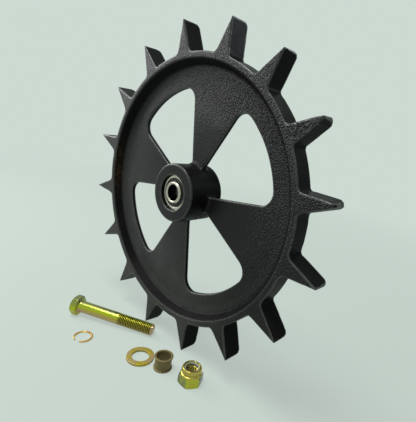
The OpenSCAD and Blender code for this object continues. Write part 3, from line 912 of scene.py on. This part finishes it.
def snap_ring(material):
    """Open ring whose section thins towards its ends."""
    section = rounded([(-0.5, 0), (0.5, 0), (0.5, 1), (-0.5, 1)], 0.25, closed=True)
    middle = (SNAP_OD - SNAP_W) / 2
    rings = []
    for share in np.linspace(0, 1, 121):
        angle = math.radians(SNAP_TURN + SNAP_GAP / 2 + share * (360 - SNAP_GAP))
        near_end = min(share, 1 - share)
        width = SNAP_W * (0.5 + 0.5 * min(1, near_end / 0.16))
        points = [((middle + u * width) * math.cos(angle), (middle + u * width) * math.sin(angle), v * SNAP_T)
                  for u, v in section]
        rings.append(np.array(points) * MM)
    piece = loft("open_snap_ring", rings)
    piece.data.transform(on_floor(*SNAP_AT))
    hand_over(piece, "snap_ring", "axle_set", material)


# Stage and light

PALE = (0.61, 0.70, 0.645)
FLOOR_SHARE = 0.80
FLOOR_GLOW = 0.70
WORLD_LIGHT = 0.25


def seen_share(tree):
    """1 for rays from the eye and for mirrored or refracted ones, 0 for light that spreads."""
    path = tree.nodes.new("ShaderNodeLightPath")
    seen = path.outputs["Is Camera Ray"]
    for other in ("Is Glossy Ray", "Is Transmission Ray"):
        either = tree.nodes.new("ShaderNodeMath")
        either.operation = "MAXIMUM"
        tree.links.new(seen, either.inputs[0])
        tree.links.new(path.outputs[other], either.inputs[1])
        seen = either.outputs[0]
    return seen


def add_floor():
    """Pale floor that fades into the surroundings away from the part."""
    size, cells = 6.0, 2
    steps = np.linspace(-size, size, cells + 1)
    points = [(x, y, FLOOR_Z) for y in steps for x in steps]
    row = cells + 1
    faces = [(j * row + i, j * row + i + 1, (j + 1) * row + i + 1, (j + 1) * row + i)
             for j in range(cells) for i in range(cells)]
    mesh = bpy.data.meshes.new("floor")
    mesh.from_pydata(points, [], faces)
    floor = add_piece("floor", mesh)
    look = Look("floor_pale")
    pale = [tuple(c * FLOOR_SHARE * share for c in PALE) for share in (0.985, 1.0)]
    speckle = look.ramp(look.noise(40.0), (0.3, pale[0]), (0.7, pale[1]))
    look.set(Base_Color=speckle, Roughness=0.9, Specular_IOR_Level=0.1)
    distance = look.add("ShaderNodeVectorMath", {0: look.place}, operation="LENGTH").outputs["Value"]
    glow = look.add("ShaderNodeEmission", {"Color": (*PALE, 1), "Strength": 1.0})
    share = look.math("MULTIPLY", look.between(distance, FLOOR_GLOW, 1.0, 0.30, 1.1), seen_share(look.tree))
    sides = {0: share, 1: look.shader.outputs[0], 2: glow.outputs[0]}
    blend = look.add("ShaderNodeMixShader", sides).outputs[0]
    look.join(look.tree.nodes["Material Output"].inputs["Surface"], blend)
    mesh.materials.append(look.material)


def add_world():
    """The surroundings, seen at full strength but lighting the part more gently."""
    world = bpy.data.worlds.new("surroundings")
    world.use_nodes = True
    bpy.context.scene.world = world
    tree = world.node_tree
    background = tree.nodes["Background"]
    background.inputs["Color"].default_value = (*PALE, 1)
    strength = tree.nodes.new("ShaderNodeMapRange")
    strength.inputs["To Min"].default_value = WORLD_LIGHT
    strength.inputs["To Max"].default_value = 1.0
    tree.links.new(seen_share(tree), strength.inputs["Value"])
    tree.links.new(strength.outputs["Result"], background.inputs["Strength"])


def add_lamp(name, place, aim, size, power, colour=(1, 1, 1), spread=180):
    data = bpy.data.lights.new(name, "AREA")
    data.shape = "DISK"
    data.size = size
    data.energy = power
    data.color = colour
    data.spread = math.radians(spread)
    lamp = bpy.data.objects.new(name, data)
    direction = Vector(aim) - Vector(place)
    lamp.matrix_world = Matrix.Translation(place) @ direction.to_track_quat("-Z", "Y").to_matrix().to_4x4()
    lamp.visible_camera = False
    bpy.context.scene.collection.objects.link(lamp)


def add_lamps():
    add_lamp("key", (-0.20, -0.30, 1.25), (0, 0, 0), 0.60, 14)
    add_lamp("side", (-0.86, -0.34, 0.42), (0, 0, 0), 0.75, 7.2)
    add_lamp("kick", (0.34, 0.34, 0.34), (0.0, 0, 0.16), 0.20, 0.07, (0.85, 0.92, 1.0), 26)


def dress_cad_nodes(balls, spacer, cage, rubber):
    """Finish of the CAD nodes that stay as they are."""
    looks = {"spacer_sleeve": spacer}
    for side in ("front", "rear"):
        looks[f"{side}_balls"] = balls
        looks[f"{side}_cage"] = cage
        looks[f"{side}_inboard_seal"] = rubber
    for node, material in looks.items():
        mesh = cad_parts[node].data
        for i in range(len(mesh.materials)):
            mesh.materials[i] = material


def main():
    bpy.context.scene.view_settings.view_transform = "Standard"
    add_camera()
    rubber = seal_rubber()
    zinc = yellow_zinc()
    cast_wheel(cast_paint())
    bearings(turned_steel("ring_steel", (0.62, 0.58, 0.50), (0.46, 0.42, 0.35), 0.24, 0.36), rubber)
    axle_bolt(zinc)
    lock_nut(zinc, insert_nylon())
    flat_washer(washer_zinc())
    flanged_bush(olive_plate())
    snap_ring(copper_plate())
    balls = turned_steel("ball_steel", (0.72, 0.72, 0.73), (0.62, 0.62, 0.64), 0.08, 0.14)
    spacer = turned_steel("spacer_steel", (0.42, 0.43, 0.44), (0.30, 0.31, 0.32), 0.3, 0.42)
    dress_cad_nodes(balls, spacer, cage_plastic(), rubber)
    add_floor()
    add_world()
    add_lamps()


main()
